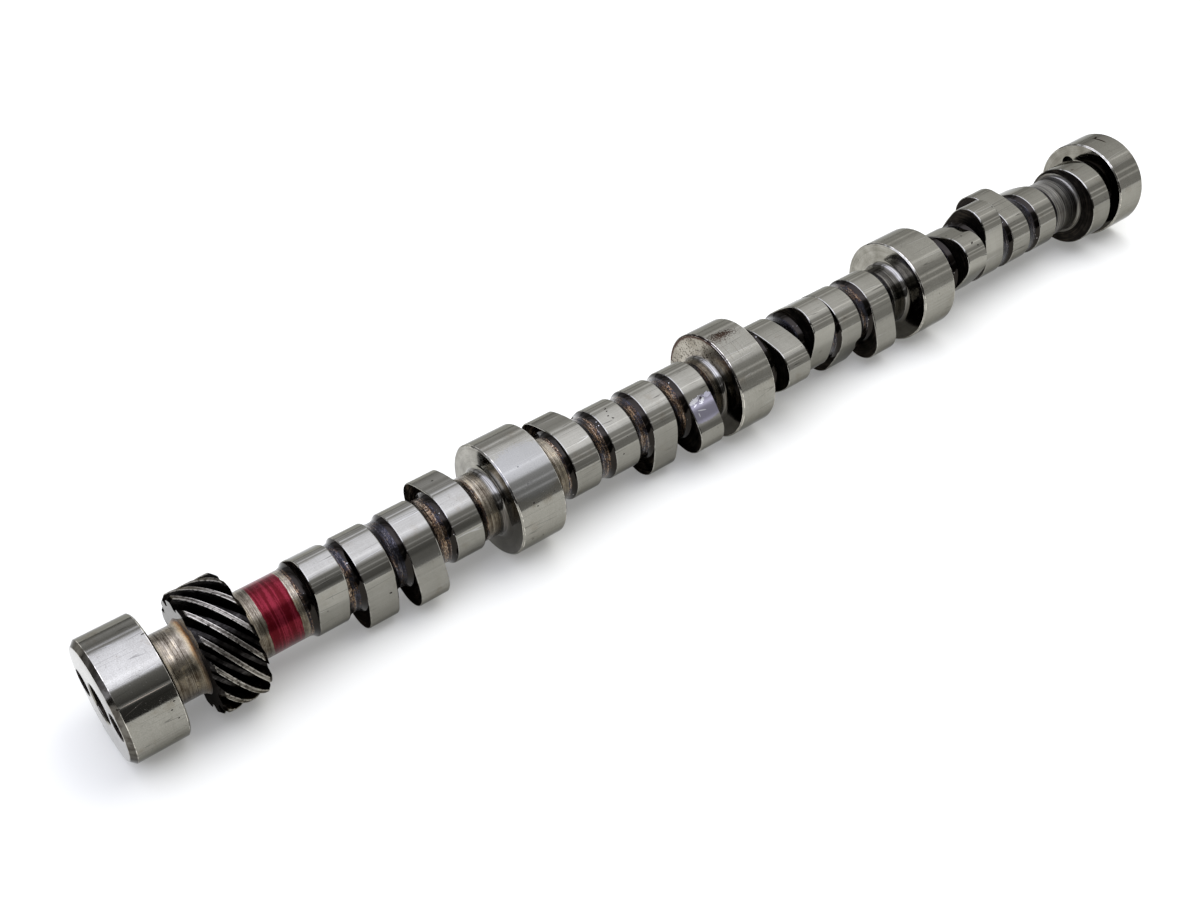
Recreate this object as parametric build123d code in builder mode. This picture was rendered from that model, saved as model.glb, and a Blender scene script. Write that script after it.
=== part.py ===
from build123d import *
import os
from math import acos, atan2, copysign, cos, degrees, isclose, pi, radians, sin, tan

os.makedirs("parts", exist_ok=True)

# A roller camshaft for a V8 engine with two valves a cylinder, turned and ground from one bar.
# X runs along the shaft and is 0 on the front face, where the timing gear bolts on.
# Every other section lies at a negative X. Angles turn about X, from +Y towards +Z.
# Lengths are in millimetres and angles in degrees.

# shaft, with the necks' depth below the lobes' base circle
bearing_pitch = 111.76
neck_depth = 1.65
band_neck_width = 23.47
front_neck_width = 18.79

# journals, numbered from the front
journal_radius = 23.725
front_journal_width = 18.3
second_journal_width = 20.5
third_journal_width = 18.6
fourth_journal_width = 20.9
rear_journal_width = 21.4
journal_root_fillet = 2.5
journal_edge_chamfer = 0.6
rear_edge_chamfer = 2.0
front_edge_chamfer = 1.0

# roller lobes, and the low hub that each one stands on
base_circle_radius = 15.15
lobe_lift = 8.25
lobe_width = 12.5
near_lobe_offset = 24.15
far_lobe_offset = 28.3
nose_radius = 10.9
half_duration = 77.0
lobe_edge_chamfer = 0.4
hub_depth = 0.2
hub_ramp = 3.0

# timing, with the firing order by cylinder and the two lifter banks
firing_order = "18436572"
firing_step = 45.0
odd_bank_angle = 45.0
even_bank_angle = 135.0
lobe_separation = 111.2
shaft_turn = 47.6

# helical drive gear
gear_gap = 12.6
gear_width = 19.0
tooth_count = 13
normal_module = 1.814
normal_pressure_angle = 20.0
helix_angle = 57.4
root_clearance = 0.25
tooth_angle_at_rear = 62.0
gear_bevel = 1.6

# fuel pump eccentric
eccentric_gap = 6.9
eccentric_width = 12.8
eccentric_throw = 3.7
eccentric_low_side = 2.0
eccentric_angle = 180.0
eccentric_root_fillet = 1.9
fillet_limit = 0.95

# rear face
centre_bore_radius = 7.95
centre_bore_depth = 24.0
drive_hole_radius = 5.0
drive_hole_depth = 14.0
drive_hole_circle = 16.0
drive_hole_angle = -13.0

# front face
bolt_circle_radius = 15.1
bolt_hole_radius = 3.4
bolt_hole_count = 3
bolt_hole_angle = 46.0
bolt_hole_depth = 21.0
front_bore_radius = 4.0
front_bore_depth = 14.0
pin_radius = 3.97
pin_length = 22.0
pin_seat = 11.0
pin_chamfer = 0.7
drill_point_angle = 59.0
mouth_chamfer = 0.4

# the lobes from the rear, each a cylinder's number with E for exhaust or I for intake
lobe_names = "8E 7E 8I 7I 6I 5I 6E 5E 4E 3E 4I 3I 2I 1I 2E 1E".split()
lobes_in_bay = 4

# places along the shaft, worked out from the front face to the rear one
eccentric_rear = -front_journal_width - eccentric_gap - eccentric_width
first_bearing_place = eccentric_rear - front_neck_width - lobe_width / 2 + near_lobe_offset
second_journal_centre = first_bearing_place - bearing_pitch
third_journal_centre = second_journal_centre - bearing_pitch
fourth_journal_centre = third_journal_centre - bearing_pitch
last_bearing_place = fourth_journal_centre - bearing_pitch
gear_front = last_bearing_place + near_lobe_offset - lobe_width / 2 - band_neck_width
gear_rear = gear_front - gear_width
rear_face = gear_rear - gear_gap - rear_journal_width

# the four lobes of a bay stand nearer one of its two bearings, turn about from bay to bay
lobe_pitch = (bearing_pitch - near_lobe_offset - far_lobe_offset) / (lobes_in_bay - 1)
bay_places = [near_lobe_offset + lobe_pitch * k for k in range(lobes_in_bay)]
lobe_centres = (
    [last_bearing_place + place for place in bay_places]
    + [third_journal_centre - place for place in reversed(bay_places)]
    + [third_journal_centre + place for place in bay_places]
    + [first_bearing_place - place for place in reversed(bay_places)]
)

# radii that follow from others
neck_radius = base_circle_radius - neck_depth
hub_radius = base_circle_radius - hub_depth
eccentric_hub_radius = neck_radius + eccentric_low_side
eccentric_radius = eccentric_hub_radius + eccentric_throw
eccentric_fillet = min(eccentric_root_fillet, fillet_limit * eccentric_low_side)
pin_angle = bolt_hole_angle - 180 / bolt_hole_count
place_tolerance = 0.001

# the rear edge, width and radius of each journal, and of the round hub within the eccentric
journals = (
    (rear_face, rear_journal_width),
    (fourth_journal_centre - fourth_journal_width / 2, fourth_journal_width),
    (third_journal_centre - third_journal_width / 2, third_journal_width),
    (second_journal_centre - second_journal_width / 2, second_journal_width),
    (-front_journal_width, front_journal_width),
)
eccentric_hub = ((eccentric_rear, eccentric_width),)
ramped_hubs = [(centre - lobe_width / 2, lobe_width) for centre in lobe_centres]
ramped_hubs += [(gear_rear, gear_width)]


def at(radius, angle):
    """The point at a radius and an angle in a section of the shaft."""
    return (radius * cos(radians(angle)), radius * sin(radians(angle)))


def nose_angle(name):
    """Angle of a lobe's nose about the shaft."""
    cylinder, valve = name
    bank = odd_bank_angle if int(cylinder) % 2 else even_bank_angle
    intake = bank + firing_step * firing_order.index(cylinder) + shaft_turn
    return intake - lobe_separation if valve == "E" else intake


def make_lobe(centre, angle):
    """A ground lobe: a nose and a heel, joined by two flanks that are round and tangent to both."""
    nose_centre = base_circle_radius + lobe_lift - nose_radius
    along, across = at(nose_centre, half_duration)
    gain = base_circle_radius - nose_radius - along
    flank_radius = (across**2 + (base_circle_radius - along) ** 2 - nose_radius**2) / (2 * gain)
    flank_x, flank_y = at(base_circle_radius - flank_radius, half_duration)
    side = copysign(1, flank_radius)
    nose_half = degrees(atan2(-side * flank_y, side * (nose_centre - flank_x)))
    towards_nose = (0, *at(1, angle))
    with BuildPart() as lobe:
        with BuildSketch(Plane(origin=(centre - lobe_width / 2, 0, 0), x_dir=towards_nose, z_dir=(1, 0, 0))):
            with BuildLine():
                nose = CenterArc((nose_centre, 0), nose_radius, -nose_half, 2 * nose_half)
                heel = CenterArc((0, 0), base_circle_radius, half_duration, 360 - 2 * half_duration)
                TangentArc(nose @ 1, heel @ 0, tangent=nose % 1)
                TangentArc(heel @ 1, nose @ 0, tangent=heel % 1)
            make_face()
        extrude(amount=lobe_width)
        rims = lobe.faces().filter_by(Axis.X).edges()
        chamfer(rims, length=lobe_edge_chamfer)
    return lobe.part


def involute(angle):
    """The involute function of a pressure angle in radians."""
    return tan(angle) - angle


def make_gear():
    """The drive gear: one section with involute flanks, turned along its lead, its ends bevelled."""
    helix = radians(helix_angle)
    pitch_radius = tooth_count * normal_module / (2 * cos(helix))
    outer_radius = pitch_radius + normal_module
    root_radius = pitch_radius - (1 + root_clearance) * normal_module
    lead = 2 * pi * pitch_radius / tan(helix)
    pressure = atan2(tan(radians(normal_pressure_angle)), cos(helix))
    involute_radius = pitch_radius * cos(pressure)
    step = 360 / tooth_count

    def half_tooth(radius):
        return step / 4 + degrees(involute(pressure) - involute(acos(involute_radius / radius)))

    half_root = half_tooth(root_radius)
    half_tip = half_tooth(outer_radius)
    flank_radii = (root_radius, pitch_radius, outer_radius)
    with BuildSketch(Plane.YZ.offset(gear_rear)) as section:
        with BuildLine():
            for tooth in range(tooth_count):
                middle = tooth_angle_at_rear + tooth * step
                ThreePointArc(*[at(radius, middle - half_tooth(radius)) for radius in flank_radii])
                CenterArc((0, 0), outer_radius, middle - half_tip, 2 * half_tip)
                ThreePointArc(*[at(radius, middle + half_tooth(radius)) for radius in flank_radii])
                CenterArc((0, 0), root_radius, middle + half_root, step - 2 * half_root)
        make_face()
    twisted = Solid.extrude_linear_with_rotation(
        section.sketch.faces()[0],
        center=(gear_rear, 0, 0),
        normal=(gear_width, 0, 0),
        angle=360 * gear_width / lead,
    )
    with BuildPart() as gear:
        add(twisted)
        with BuildSketch(Plane.XZ):
            with Locations((gear_rear, 0)):
                blank = Rectangle(gear_width, outer_radius, align=(Align.MIN, Align.MIN))
            chamfer(blank.vertices().group_by(Axis.Y)[-1], length=gear_bevel)
        revolve(axis=Axis.X, mode=Mode.INTERSECT)
    return gear.part


def face_plane(place, inward, radius=0.0, angle=0.0):
    """A plane on an end face, at a radius and angle about the shaft, looking into the steel."""
    return Plane(origin=(place, *at(radius, angle)), x_dir=(0, 1, 0), z_dir=(inward, 0, 0))


def make_drilling(mouth, radius, depth):
    """The space of a drilled hole, from the origin of its mouth's plane along the plane's normal."""
    point = radius / tan(radians(drill_point_angle))
    with BuildPart() as drilling:
        with BuildSketch(Plane(origin=mouth.origin, x_dir=mouth.x_dir, z_dir=mouth.x_dir.cross(mouth.z_dir))):
            with BuildLine():
                Polyline(
                    (0, 0),
                    (radius + mouth_chamfer, 0),
                    (radius, mouth_chamfer),
                    (radius, depth),
                    (0, depth + point),
                    close=True,
                )
            make_face()
        revolve(axis=Axis(mouth.origin, mouth.z_dir))
    return drilling.part


def corners_at(sketch, radius, steps):
    """The corners of a half section that stand at a radius, at either edge of any of the steps."""
    edges = [start + along for start, width in steps for along in (0, width)]
    level = sketch.vertices().filter_by_position(Axis.Y, radius, radius)
    return level.filter_by(
        lambda corner: any(isclose(corner.X, edge, abs_tol=place_tolerance) for edge in edges)
    )


lobes = [make_lobe(centre, nose_angle(name)) for centre, name in zip(lobe_centres, lobe_names)]
gear_teeth = make_gear()

holes = [
    make_drilling(face_plane(rear_face, 1), centre_bore_radius, centre_bore_depth),
    make_drilling(face_plane(0, -1), front_bore_radius, front_bore_depth),
]
for angle in (drive_hole_angle, drive_hole_angle + 180):
    mouth = face_plane(rear_face, 1, drive_hole_circle, angle)
    holes.append(make_drilling(mouth, drive_hole_radius, drive_hole_depth))
for index in range(bolt_hole_count):
    mouth = face_plane(0, -1, bolt_circle_radius, bolt_hole_angle + 360 / bolt_hole_count * index)
    holes.append(make_drilling(mouth, bolt_hole_radius, bolt_hole_depth))

# turned neck, journals and hubs, as one half section, then the lobes, teeth and eccentric, then the holes
with BuildPart() as camshaft:
    with BuildSketch(Plane.XZ) as half_section:
        with Locations((rear_face, 0)):
            Rectangle(-rear_face, neck_radius, align=(Align.MIN, Align.MIN))
        for radius, steps in ((journal_radius, journals), (eccentric_hub_radius, eccentric_hub)):
            for start, width in steps:
                with Locations((start, 0)):
                    Rectangle(width, radius, align=(Align.MIN, Align.MIN))
        hub_height = hub_radius - neck_radius
        hub_slope = degrees(atan2(hub_height, hub_ramp))
        for start, width in ramped_hubs:
            with Locations((start - hub_ramp, neck_radius)):
                Trapezoid(width + 2 * hub_ramp, hub_height, hub_slope, align=(Align.MIN, Align.MIN))
        fillet(corners_at(half_section, neck_radius, journals), journal_root_fillet)
        fillet(corners_at(half_section, neck_radius, eccentric_hub), eccentric_fillet)
        rims = corners_at(half_section, journal_radius, journals).sort_by(Axis.X)
        chamfer(rims[1:-1], journal_edge_chamfer)
        chamfer(rims[0], rear_edge_chamfer)
        chamfer(rims[-1], front_edge_chamfer)
    revolve(axis=Axis.X)

    add(lobes)
    add(gear_teeth)

    with BuildSketch(Plane.YZ.offset(eccentric_rear)):
        with Locations(at(eccentric_throw, eccentric_angle)):
            Circle(eccentric_radius)
    extrude(amount=eccentric_width)

    add(holes, mode=Mode.SUBTRACT)

    with BuildSketch(face_plane(0, -1, bolt_circle_radius, pin_angle)):
        Circle(pin_radius)
    extrude(amount=pin_seat, mode=Mode.SUBTRACT)

camshaft.part.label = "camshaft"
export_step(camshaft.part, "parts/camshaft.step")

# the timing gear's dowel pin, pressed into the front face
with BuildPart() as dowel_pin:
    with BuildSketch(face_plane(-pin_seat, 1, bolt_circle_radius, pin_angle)):
        Circle(pin_radius)
    extrude(amount=pin_length)
    chamfer(dowel_pin.faces().filter_by(Axis.X).edges(), pin_chamfer)

dowel_pin.part.label = "dowel_pin"
export_step(dowel_pin.part, "parts/dowel_pin.step")
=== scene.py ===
import math
import random

import bmesh
import bpy
from mathutils import Matrix, Vector


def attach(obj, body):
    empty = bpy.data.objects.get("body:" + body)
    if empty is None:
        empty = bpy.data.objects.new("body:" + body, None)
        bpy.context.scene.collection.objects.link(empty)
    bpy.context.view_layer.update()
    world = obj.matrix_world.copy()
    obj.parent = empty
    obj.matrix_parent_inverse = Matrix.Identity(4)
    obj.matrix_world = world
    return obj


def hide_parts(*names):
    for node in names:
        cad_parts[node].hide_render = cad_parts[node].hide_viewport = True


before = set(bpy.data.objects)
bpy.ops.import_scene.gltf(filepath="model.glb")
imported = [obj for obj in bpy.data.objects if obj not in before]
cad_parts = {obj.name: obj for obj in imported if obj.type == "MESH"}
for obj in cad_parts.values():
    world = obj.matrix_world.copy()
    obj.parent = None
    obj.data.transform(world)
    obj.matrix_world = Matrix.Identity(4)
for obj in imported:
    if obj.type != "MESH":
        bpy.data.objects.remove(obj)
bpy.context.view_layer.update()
print("frame loaded")

mm = 0.001
full = 360.0  # degrees in a turn
floorLevel = -23.725 * mm


# places along the shaft in millimetres, as the frame has them: x is 0 on the front face
shaft = {
    "neckRadius": 13.5,
    "journalRadius": 23.725,
    "rearFace": -544.5,
    "journals": [(-544.5, -523.1), (-384.62, -363.72), (-271.71, -253.11), (-160.9, -140.4), (-18.3, 0.0)],
    "rootFillet": 2.5,
    "edgeChamfer": 0.6,
    "rearEdgeChamfer": 2.0,
    "frontEdgeChamfer": 1.0,
    "edgeRound": 0.12,
    "hubRadius": 14.95,
    "hubRamp": 3.0,
    "hubSteps": 5,
    "pumpHub": (-38.0, -25.2),
    "pumpHubRadius": 15.3,
    "pumpFillet": 1.9,
    "gear": (-510.5, -491.5),
    "turns": 240,  # facets around the bar
}
lobeShape = {
    "baseRadius": 15.15,
    "lift": 8.25,
    "width": 12.5,
    "noseRadius": 10.9,
    "halfDuration": 77.0,
    "edge": 0.4,
    "softness": 0.35,
    "inner": 14.6,
    "bays": 4,
    "names": "8E 7E 8I 7I 6I 5I 6E 5E 4E 3E 4I 3I 2I 1I 2E 1E".split(),
    "centres": [-461.78, -442.01, -422.24, -402.47, -345.87, -326.1, -306.33, -286.56,
                -238.26, -218.49, -198.72, -178.95, -122.35, -102.58, -82.81, -63.04],
    "firingOrder": "18436572",
    "firingStep": 45.0,
    "oddBank": 45.0,
    "evenBank": 135.0,
    "separation": 111.2,
    "turn": 47.6,
    "facets": {"nose": 56, "flank": 36, "heel": 104},
}
endHoles = {
    "boreRadius": 7.95, "boreDepth": 24.0,
    "driveRadius": 5.0, "driveDepth": 14.0, "driveCircle": 16.0, "driveAngle": -13.0,
    "boltRadius": 3.4, "boltDepth": 21.0, "boltCircle": 15.1, "boltAngle": 46.0, "bolts": 3, "clear": 1.0,
    "frontBoreRadius": 4.0, "frontBoreDepth": 14.0,
    "drillPoint": 59.0, "mouth": 0.4, "turns": 56,
}


def around(radius, degrees):
    return radius * math.cos(math.radians(degrees)), radius * math.sin(math.radians(degrees))


def drillTip(radius):
    return radius / math.tan(math.radians(endHoles["drillPoint"]))


def roundedPath(corners):
    # corners are (x, r, rounding, finish of the run that follows); a rounding becomes a small arc
    limits = {"leastBend": 0.02, "longest": 0.98, "steps": 5, "stepBend": 0.8, "leastSteps": 0.6}
    path = []
    last = len(corners) - 1
    for index, (x, r, rounding, finish) in enumerate(corners):
        if rounding <= 0 or index in (0, last):
            path.append((x, r, finish))
            continue
        here = Vector((x, r))
        back = Vector(corners[index - 1][:2]) - here
        ahead = Vector(corners[index + 1][:2]) - here
        bend = math.pi - back.angle(ahead)
        if bend < limits["leastBend"]:
            path.append((x, r, finish))
            continue
        tangent = math.tan(bend / 2)
        reach = min(rounding * tangent, limits["longest"] * back.length, limits["longest"] * ahead.length)
        back.normalize()
        ahead.normalize()
        centre = here + (back + ahead).normalized() * (reach / tangent / math.cos(bend / 2))
        start = here + back * reach - centre
        sign = 1 if start.cross(here + ahead * reach - centre) > 0 else -1
        count = max(2, int(limits["steps"] * max(bend / limits["stepBend"], limits["leastSteps"])))
        before = corners[index - 1][3]
        for step in range(count + 1):
            turned = Matrix.Rotation(sign * bend * step / count, 2) @ start + centre
            path.append((turned.x, turned.y, before if step < count / 2 else finish))
    return path


def spin(bm, path, finishes, centre=(0.0, 0.0), turns=shaft["turns"]):
    # turns a path of (x, r, finish) about an axis along x, its outer side to the left of its way
    rings = []
    for x, r, _ in path:
        if r < 1e-6:  # on the axis
            rings.append([bm.verts.new((x * mm, centre[0] * mm, centre[1] * mm))])
            continue
        spots = [around(r, full * turn / turns) for turn in range(turns)]
        rings.append([bm.verts.new((x * mm, (centre[0] + y) * mm, (centre[1] + z) * mm)) for y, z in spots])
    for index in range(len(rings) - 1):
        first, second = rings[index], rings[index + 1]
        finish = finishes[path[index][2]]
        for turn in range(turns):
            after = (turn + 1) % turns
            if len(first) == 1:
                corners = (first[0], second[after], second[turn])
            elif len(second) == 1:
                corners = (first[turn], first[after], second[0])
            else:
                corners = (first[turn], first[after], second[after], second[turn])
            bm.faces.new(corners).material_index = finish
    return rings


def loft(bm, rings, finishList, finishes):
    made = [[bm.verts.new(point) for point in ring] for ring in rings]
    count = len(rings[0])
    for (first, second), finish in zip(zip(made, made[1:]), finishList):
        for turn in range(count):
            after = (turn + 1) % count
            corners = (first[turn], first[after], second[after], second[turn])
            bm.faces.new(corners).material_index = finishes[finish]


def finishPiece(name, bm, materials, sharp=24.0, marks=None):
    mesh = bpy.data.meshes.new(name)
    bm.to_mesh(mesh)
    bm.free()
    for material in materials:
        mesh.materials.append(material)
    for label, worth in (marks or {}).items():
        layer = mesh.attributes.new(label, "FLOAT", "POINT")
        layer.data.foreach_set("value", [worth(vertex.co / mm) for vertex in mesh.vertices])
    mesh.polygons.foreach_set("use_smooth", [True] * len(mesh.polygons))
    mesh.set_sharp_from_angle(angle=math.radians(sharp))
    piece = bpy.data.objects.new(name, mesh)
    bpy.context.scene.collection.objects.link(piece)
    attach(piece, "root")
    return piece


def noseAngle(name):
    cylinder, valve = name
    bank = lobeShape["oddBank"] if int(cylinder) % 2 else lobeShape["evenBank"]
    firing = lobeShape["firingStep"] * lobeShape["firingOrder"].index(cylinder)
    intake = bank + firing + lobeShape["turn"]
    return intake - lobeShape["separation"] if valve == "E" else intake


def lobeOutline():
    # points and outward normals of a lobe whose nose is at angle 0: nose, flank, heel, flank
    base, nose, half = lobeShape["baseRadius"], lobeShape["noseRadius"], lobeShape["halfDuration"]
    noseCentre = base + lobeShape["lift"] - nose
    along, across = around(noseCentre, half)
    gain = base - nose - along
    flank = (across ** 2 + (base - along) ** 2 - nose ** 2) / (2 * gain)
    side = math.copysign(1, flank)
    flankX, flankY = around(base - flank, half)
    noseHalf = math.degrees(math.atan2(-side * flankY, side * (noseCentre - flankX)))
    facets = lobeShape["facets"]
    arcs = [
        ((noseCentre, 0.0), nose, -noseHalf, noseHalf, facets["nose"]),
        ((flankX, flankY), flank, noseHalf, half, facets["flank"]),
        ((0.0, 0.0), base, half, full - half, facets["heel"]),
        ((flankX, -flankY), flank, full - half, full - noseHalf, facets["flank"]),
    ]
    points = []
    for (cx, cy), radius, start, end, count in arcs:
        for step in range(count):
            nx, ny = around(1.0, start + (end - start) * step / count)
            points.append(((cx + radius * nx, cy + radius * ny), (nx, ny)))
    return points


# small helpers for shader nodes
def put(tree, kind, settings=None, links=None):
    node = tree.nodes.new(kind)
    for key, value in (settings or {}).items():
        setattr(node, key, value)
    for key, value in (links or {}).items():
        if isinstance(value, bpy.types.NodeSocket):
            tree.links.new(value, node.inputs[key])
        else:
            node.inputs[key].default_value = value
    return node


def arithmetic(tree, operation, *terms, clamp=False):
    settings = {"operation": operation, "use_clamp": clamp}
    return put(tree, "ShaderNodeMath", settings, dict(enumerate(terms))).outputs[0]


def maths(operation):
    return lambda tree, *terms: arithmetic(tree, operation, *terms)


times, timesPlus, plus, minus = (maths(kind) for kind in ("MULTIPLY", "MULTIPLY_ADD", "ADD", "SUBTRACT"))
over, larger, absolute, radians = (maths(kind) for kind in ("DIVIDE", "MAXIMUM", "ABSOLUTE", "RADIANS"))
above, below = maths("GREATER_THAN"), maths("LESS_THAN")


def ramp(tree, value, stops):
    node = put(tree, "ShaderNodeValToRGB", links={0: value})
    elements = node.color_ramp.elements
    while len(elements) < len(stops):
        elements.new(0.5)
    for element, (place, colour) in zip(elements, stops):
        element.position = place
        element.color = (*colour, 1.0)
    return node.outputs[0]


def spread(tree, value, low, high, toLow=0.0, toHigh=1.0):
    terms = dict(enumerate((value, low, high, toLow, toHigh)))
    return put(tree, "ShaderNodeMapRange", {"interpolation_type": "SMOOTHSTEP"}, terms).outputs[0]


def blend(tree, share, first, second, mode="MIX"):
    first, second = [(*c, 1.0) if isinstance(c, tuple) else c for c in (first, second)]
    settings = {"data_type": "RGBA", "blend_type": mode}
    return put(tree, "ShaderNodeMix", settings, {0: share, 6: first, 7: second}).outputs[2]


def lay(tree, colour, shade, share, strength=None):
    # lays a shade over a colour, where the share says and as strongly as the strength
    share = share if strength is None else times(tree, share, strength)
    return blend(tree, share, colour, shade)


def between(tree, share, first, second):
    return put(tree, "ShaderNodeMix", links={0: share, 2: first, 3: second}).outputs[0]


def attribute(tree, name):
    return put(tree, "ShaderNodeAttribute", {"attribute_name": name}).outputs["Fac"]


def parts(tree, vector):
    return put(tree, "ShaderNodeSeparateXYZ", links={0: vector}).outputs


def joined(tree, *values):
    return put(tree, "ShaderNodeCombineXYZ", links=dict(enumerate(values))).outputs[0]


def noise(tree, vector, scale=1.0, detail=3.0, roughness=0.5, dimensions="3D"):
    links = {"Vector": vector, "Scale": scale, "Detail": detail, "Roughness": roughness}
    return put(tree, "ShaderNodeTexNoise", {"noise_dimensions": dimensions}, links).outputs[0]


def nodeGroup(name, inputs, outputs):
    tree = bpy.data.node_groups.new(name, "ShaderNodeTree")
    for label, value in inputs.items():
        socket = tree.interface.new_socket(name=label, in_out="INPUT", socket_type="NodeSocketFloat")
        socket.default_value = value
    for label, kind in outputs.items():
        tree.interface.new_socket(name=label, in_out="OUTPUT", socket_type="NodeSocket" + kind)
    return tree, tree.nodes.new("NodeGroupInput").outputs, tree.nodes.new("NodeGroupOutput").inputs


def use(tree, group, **values):
    return put(tree, "ShaderNodeGroup", {"node_tree": group}, values).outputs


# where a point of the surface is: millimetres along the bar, degrees about it, millimetres from its axis
def makeShaftPlace():
    kinds = {"Along": "Float", "Turn": "Float", "Radius": "Float", "Point": "Vector"}
    tree, _, out = nodeGroup("shaftPlace", {}, kinds)
    place = put(tree, "ShaderNodeTexCoord").outputs["Object"]
    point = put(tree, "ShaderNodeVectorMath", {"operation": "SCALE"}, {0: place, "Scale": 1 / mm}).outputs[0]
    part = parts(tree, point)
    turn = arithmetic(tree, "DEGREES", arithmetic(tree, "ARCTAN2", part["Z"], part["Y"]))
    square = plus(tree, times(tree, part["Y"], part["Y"]), times(tree, part["Z"], part["Z"]))
    tree.links.new(part["X"], out["Along"])
    tree.links.new(arithmetic(tree, "FLOORED_MODULO", turn, full), out["Turn"])
    tree.links.new(arithmetic(tree, "SQRT", square), out["Radius"])
    tree.links.new(point, out["Point"])
    return tree


# noise drawn out along the bar or around it, such as grinding lines, turning rings and streaks
def makeDrawnNoise():
    inputs = {"Along": 1.0, "Around": 1.0, "Detail": 3.0, "Shift": 0.0}
    tree, given, out = nodeGroup("drawnNoise", inputs, {"Value": "Float"})
    part = parts(tree, use(tree, shaftPlace)["Point"])
    x = timesPlus(tree, part["X"], given["Along"], given["Shift"])
    y = timesPlus(tree, part["Y"], given["Around"], given["Shift"])
    vector = joined(tree, x, y, times(tree, part["Z"], given["Around"]))
    tree.links.new(noise(tree, vector, detail=given["Detail"], roughness=0.6), out["Value"])
    return tree


# rings about the axis on the flat sides, by distance from it
def makeFacingRings():
    tree, given, out = nodeGroup("facingRings", {"PerMm": 2.0, "Around": 0.05}, {"Value": "Float"})
    place = use(tree, shaftPlace)
    links = {0: place["Point"], "Scale": given["Around"]}
    part = parts(tree, put(tree, "ShaderNodeVectorMath", {"operation": "SCALE"}, links).outputs[0])
    x = timesPlus(tree, place["Radius"], given["PerMm"], part["X"])
    tree.links.new(noise(tree, joined(tree, x, part["Y"], part["Z"])), out["Value"])
    return tree


# scattered pits: one in a cell of the given spacing, kept by share
def makePits():
    inputs = {"Spacing": 3.0, "Size": 0.15, "Share": 0.3, "Shift": 0.0}
    tree, given, out = nodeGroup("pits", inputs, {"Mask": "Float"})
    point = use(tree, shaftPlace)["Point"]
    moved = put(tree, "ShaderNodeVectorMath", {"operation": "ADD"}, {0: point, 1: given["Shift"]}).outputs[0]
    cell = put(tree, "ShaderNodeTexVoronoi", links={"Vector": moved, "Scale": over(tree, 1.0, given["Spacing"])})
    away = times(tree, cell.outputs["Distance"], given["Spacing"])
    shade = put(tree, "ShaderNodeSeparateColor", links={0: cell.outputs["Color"]}).outputs
    size = times(tree, given["Size"], plus(tree, shade["Green"], 0.35))
    hit = spread(tree, away, size, times(tree, size, 0.55))
    tree.links.new(times(tree, hit, below(tree, shade["Red"], given["Share"])), out["Mask"])
    return tree


def slanted(tree, x, y, slant):
    # the unrolled surface, turned by a slant in degrees
    links = {"Vector": joined(tree, x, y), "Angle": radians(tree, slant)}
    return parts(tree, put(tree, "ShaderNodeVectorRotate", {"rotation_type": "Z_AXIS"}, links).outputs[0])


# long thin scratches at a slant to the bar
def makeScratches():
    inputs = {"Length": 9.0, "Pitch": 2.5, "Slant": 30.0, "Share": 0.4, "Width": 0.02}
    tree, given, out = nodeGroup("scratches", inputs, {"Mask": "Float"})
    place = use(tree, shaftPlace)
    arc = times(tree, radians(tree, place["Turn"]), place["Radius"])
    part = slanted(tree, place["Along"], arc, given["Slant"])
    vector = joined(tree, over(tree, part["X"], given["Length"]), over(tree, part["Y"], given["Pitch"]))
    near = absolute(tree, minus(tree, noise(tree, vector, detail=0.0, dimensions="2D"), 0.5))
    thin = spread(tree, near, given["Width"], 0.0)
    share = minus(tree, 1.0, given["Share"])
    patch = noise(tree, vector, scale=2.3, detail=2.0, dimensions="2D")
    tree.links.new(times(tree, thin, spread(tree, patch, share, plus(tree, share, 0.08))), out["Mask"])
    return tree


# one mark at a known place: an oval, slanted, with a ragged edge
def makePlacedMark():
    inputs = {"Along": 0.0, "Turn": 0.0, "Length": 1.0, "Width": 1.0, "Slant": 0.0, "Ragged": 0.3}
    tree, given, out = nodeGroup("placedMark", inputs, {"Mask": "Float"})
    place = use(tree, shaftPlace)
    turn = radians(tree, minus(tree, place["Turn"], given["Turn"]))
    x = minus(tree, place["Along"], given["Along"])
    part = slanted(tree, x, times(tree, turn, place["Radius"]), given["Slant"])
    x = over(tree, part["X"], given["Length"])
    y = over(tree, part["Y"], given["Width"])
    away = arithmetic(tree, "SQRT", plus(tree, times(tree, x, x), times(tree, y, y)))
    wave = times(tree, minus(tree, noise(tree, place["Point"], scale=1.6), 0.5), given["Ragged"])
    tree.links.new(spread(tree, timesPlus(tree, wave, 4.0, away), 1.0, 0.8), out["Mask"])
    return tree


# how far a point lies round from the given middle, for the painted shade on the sides turned away from the light
def makeUnderside():
    tree, given, out = nodeGroup("underside", {"Middle": 108.0, "From": 40.0, "To": 52.0}, {"Mask": "Float"})
    off = plus(tree, minus(tree, use(tree, shaftPlace)["Turn"], given["Middle"]), full / 2)
    off = minus(tree, arithmetic(tree, "FLOORED_MODULO", off, full), full / 2)
    tree.links.new(spread(tree, absolute(tree, off), given["From"], given["To"]), out["Mask"])
    return tree


shaftPlace = makeShaftPlace()
drawnNoise = makeDrawnNoise()
facingRings = makeFacingRings()
pits = makePits()
scratches = makeScratches()
placedMark = makePlacedMark()
underside = makeUnderside()


def drawn(tree, along, around, detail=3.0, shift=0.0):
    return use(tree, drawnNoise, Along=along, Around=around, Detail=detail, Shift=shift)["Value"]


def newMaterial(name, metallic=1.0):
    material = bpy.data.materials.new(name)
    material.use_nodes = True
    tree = material.node_tree
    shader = tree.nodes["Principled BSDF"]
    shader.inputs["Metallic"].default_value = metallic
    return material, tree, shader


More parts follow.
